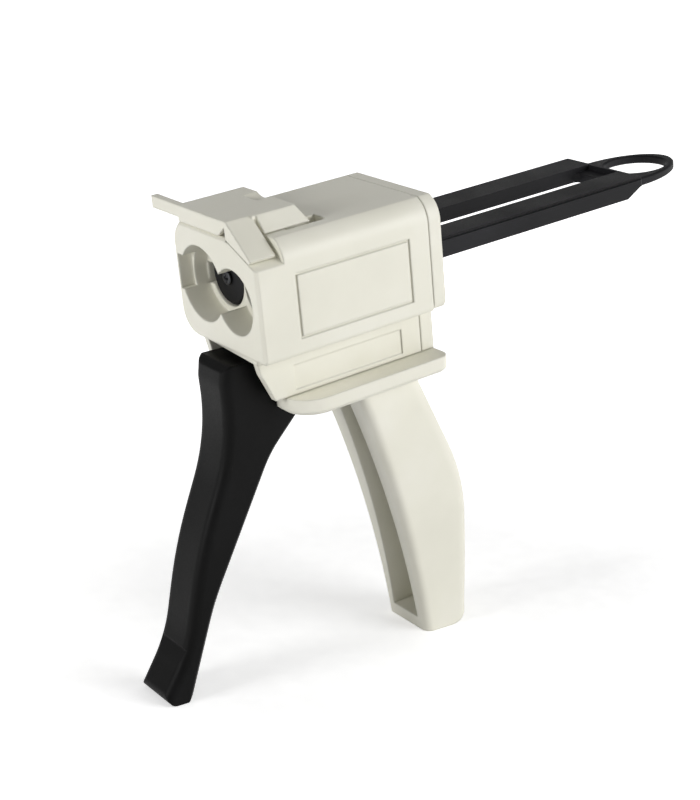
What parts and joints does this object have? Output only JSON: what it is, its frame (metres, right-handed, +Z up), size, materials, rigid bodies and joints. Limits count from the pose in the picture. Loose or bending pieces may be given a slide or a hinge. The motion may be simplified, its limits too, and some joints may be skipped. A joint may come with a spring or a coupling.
{
  "type": "dental dispensing gun",
  "caption": "Hand-held dental dispensing gun: ivory casing with a twin socket and latch, black trigger and black twin-bar plunger with pull ring.",
  "frame": {"origin": "middle of the handle's flat foot, on the surface that the tool stands on", "axes": "+Z up, -X the way the muzzle points, +Y the side of the large barrel socket"},
  "size_m": [0.2041, 0.0564, 0.1512],
  "materials": {
    "ivory_shell": "satin",
    "black_grip": "satin",
    "black_plunger": "matt",
    "pawl_plastic": "satin",
    "bush_plastic": "satin",
    "steel": "satin"
  },
  "bodies": {
    "frame": {"front_housing": "ivory_shell", "rear_cap": "ivory_shell", "handle_frame": "ivory_shell", "trigger_pin": "steel", "trigger_bushes": "bush_plastic", "trigger_spring": "steel", "release_pin": "steel", "release_spring": "steel", "latch_pin": "steel", "cap_screws": "steel", "frame_screw": "steel"},
    "trigger": {"trigger": "black_grip", "drive_pawl_pin": "steel"},
    "drive_pawl": {"drive_pawl": "pawl_plastic", "drive_pawl_spring": "steel"},
    "release_lever": {"release_lever": "pawl_plastic"},
    "plunger": {"plunger": "black_plunger", "large_disc": "black_plunger", "small_disc": "black_plunger"},
    "latch": {"latch": "ivory_shell"}
  },
  "joints": [
    {"name": "trigger_pivot", "type": "hinge", "parent": "frame", "child": "trigger", "pos_m": [-0.05228, 0, 0.10062], "axis": [0, -1, 0], "range_deg": [0, 26], "stiffness_Nm_per_rad": 0.3, "springref_deg": -22.92},
    {"name": "drive_pawl_pivot", "type": "hinge", "parent": "trigger", "child": "drive_pawl", "pos_m": [-0.05045, 0, 0.11752], "axis": [0, -1, 0], "range_deg": [-27, 1]},
    {"name": "release_lever_pivot", "type": "hinge", "parent": "frame", "child": "release_lever", "pos_m": [-0.02637, 0, 0.11982], "axis": [0, 1, 0], "range_deg": [0, 8], "stiffness_Nm_per_rad": 0.05, "springref_deg": -17.19},
    {"name": "plunger_slide", "type": "slide", "parent": "frame", "child": "plunger", "axis": [-0.993, 0, -0.1184], "range_m": [0, 0.066]},
    {"name": "latch_hinge", "type": "hinge", "parent": "frame", "child": "latch", "pos_m": [-0.05875, 0, 0.14809], "axis": [0, 1, 0], "range_deg": [0, 75]}
  ],
  "couplings": [
    {"joint": "drive_pawl_pivot", "follows": "trigger_pivot", "ratio": -1}
  ]
}
